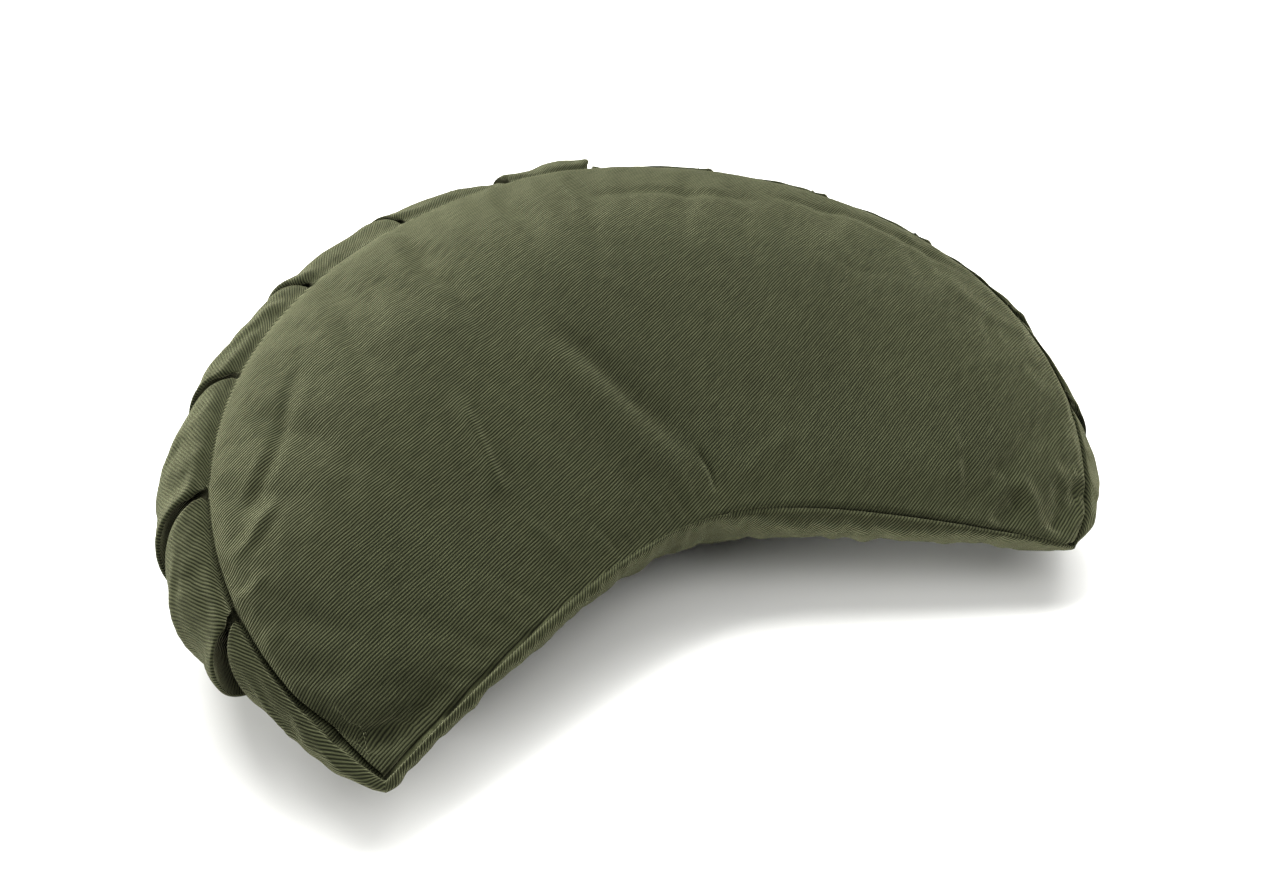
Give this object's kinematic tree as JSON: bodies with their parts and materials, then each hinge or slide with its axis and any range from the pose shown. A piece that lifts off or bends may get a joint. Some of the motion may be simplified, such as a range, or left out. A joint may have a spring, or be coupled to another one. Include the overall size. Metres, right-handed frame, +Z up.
{
  "type": "crescent meditation cushion",
  "caption": "Crescent-shaped floor cushion with a sloping filled seat, a plain band in its hollow front and a pleated band round its back.",
  "frame": {"origin": "on the floor, under the middle of the cushion's box", "axes": "+X from the left tip to the right tip, +Y from the hollow front to the tall back, +Z up"},
  "size_m": [0.4548, 0.314, 0.1376],
  "materials": {
    "cover": "matt olive cotton twill"
  },
  "bodies": {
    "root": {"cushion": "cover"}
  },
  "joints": []
}
